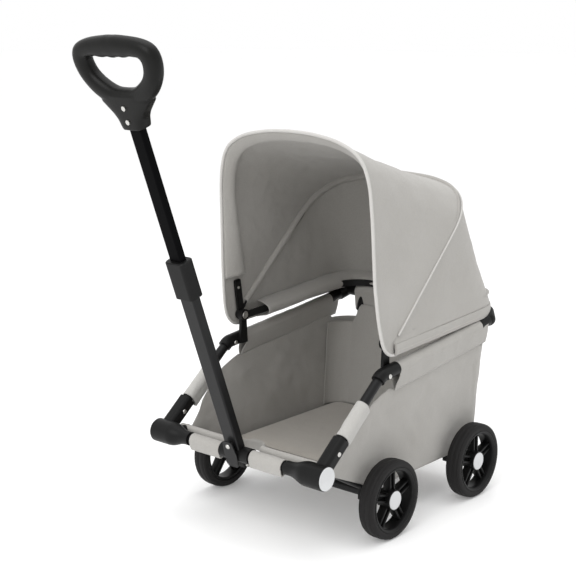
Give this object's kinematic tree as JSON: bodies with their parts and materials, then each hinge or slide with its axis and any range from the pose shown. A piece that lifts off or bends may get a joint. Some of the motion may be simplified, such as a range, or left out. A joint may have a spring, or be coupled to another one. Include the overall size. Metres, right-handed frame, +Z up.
{
  "type": "kids pull wagon",
  "caption": "Pull wagon with a fabric tub on a rigid tube frame, spoked wheels, a telescoping pull handle and a folding fabric canopy.",
  "frame": {"origin": "on the ground, straight below the middle of the front axle", "axes": "+X across the wagon, to the right of someone facing its front; +Y along it, towards the rear; +Z up"},
  "size_m": [0.382, 0.7263, 0.7752],
  "materials": {
    "tread_foam": "matte moulded tread",
    "black_plastic": "fine moulded texture",
    "white_plastic": "satin",
    "plated_steel": "zinc plated",
    "black_tube": "semi-gloss powder coat",
    "bow_strip": "plain",
    "grey_cloth": "woven polyester",
    "board": "hardboard",
    "pad_cloth": "padded woven polyester"
  },
  "bodies": {
    "frame": {"front_axle_tube": "black_tube", "rear_axle_tube": "black_tube", "front_axle_rod": "plated_steel", "rear_axle_rod": "plated_steel", "axle_end_plugs": "black_plastic", "axle_fasteners": "plated_steel", "axle_saddles_front": "black_plastic", "axle_saddles_rear": "black_plastic", "front_cross_tube": "black_tube", "rear_cross_tube": "black_tube", "side_tube_left": "black_tube", "side_tube_right": "black_tube", "base_rail_left": "black_tube", "base_rail_right": "black_tube", "frame_rivets": "plated_steel", "front_corner_left": "black_plastic", "front_corner_right": "black_plastic", "corner_cap_left": "white_plastic", "corner_cap_right": "white_plastic", "rear_corner_left": "black_plastic", "rear_corner_right": "black_plastic", "floor_board": "board", "floor_pad": "pad_cloth", "tub_floor": "grey_cloth", "tub_side_left": "grey_cloth", "tub_side_right": "grey_cloth", "tub_rear": "grey_cloth", "tub_apron": "grey_cloth", "canopy_bracket_left": "black_plastic", "canopy_bracket_right": "black_plastic", "canopy_pivot_rivets": "plated_steel", "rear_bow": "bow_strip", "canopy_rear": "grey_cloth"},
    "wheel_front_left": {"tyre_front_left": "tread_foam", "rim_front_left": "black_plastic", "hub_cap_front_left": "white_plastic"},
    "wheel_front_right": {"tyre_front_right": "tread_foam", "rim_front_right": "black_plastic", "hub_cap_front_right": "white_plastic"},
    "wheel_rear_left": {"tyre_rear_left": "tread_foam", "rim_rear_left": "black_plastic", "hub_cap_rear_left": "white_plastic"},
    "wheel_rear_right": {"tyre_rear_right": "tread_foam", "rim_rear_right": "black_plastic", "hub_cap_rear_right": "white_plastic"},
    "handle": {"handle_yoke": "black_plastic", "yoke_plate": "black_tube", "yoke_fasteners": "plated_steel", "lower_tube": "black_tube", "collar": "black_plastic"},
    "handle_top": {"upper_tube": "black_tube", "guide_plug": "black_plastic", "pull_grip": "black_plastic", "grip_screws": "plated_steel"},
    "canopy_mid": {"mid_bow": "bow_strip"},
    "canopy_front_end": {"front_bow": "bow_strip", "front_bow_ends": "black_plastic", "front_bow_rivets": "plated_steel", "canopy_front": "grey_cloth"}
  },
  "joints": [
    {"name": "wheel_front_left_spin", "type": "hinge", "parent": "frame", "child": "wheel_front_left", "pos_m": [-0.1773, 0, 0.0635], "axis": [1, 0, 0], "continuous": true},
    {"name": "wheel_front_right_spin", "type": "hinge", "parent": "frame", "child": "wheel_front_right", "pos_m": [0.1773, 0, 0.0635], "axis": [1, 0, 0], "continuous": true},
    {"name": "wheel_rear_left_spin", "type": "hinge", "parent": "frame", "child": "wheel_rear_left", "pos_m": [-0.1773, 0.238, 0.0635], "axis": [1, 0, 0], "continuous": true},
    {"name": "wheel_rear_right_spin", "type": "hinge", "parent": "frame", "child": "wheel_rear_right", "pos_m": [0.1773, 0.238, 0.0635], "axis": [1, 0, 0], "continuous": true},
    {"name": "handle_tilt", "type": "hinge", "parent": "frame", "child": "handle", "pos_m": [0, -0.155, 0.139], "axis": [1, 0, 0], "range_deg": [-20, 75]},
    {"name": "handle_telescope", "type": "slide", "parent": "handle", "child": "handle_top", "axis": [0, -0.3502, 0.9367], "range_m": [-0.19, 0]},
    {"name": "canopy_mid_fold", "type": "hinge", "parent": "frame", "child": "canopy_mid", "pos_m": [0, 0.021, 0.305], "axis": [-1, 0, 0], "range_deg": [0, 31], "deforming": ["canopy_rear"]},
    {"name": "canopy_front_fold", "type": "hinge", "parent": "canopy_mid", "child": "canopy_front_end", "pos_m": [0, 0.021, 0.305], "axis": [-1, 0, 0], "range_deg": [0, 42], "deforming": ["canopy_front"]}
  ],
  "couplings": [
    {"joint": "canopy_front_fold", "follows": "canopy_mid_fold", "ratio": 1.35}
  ]
}
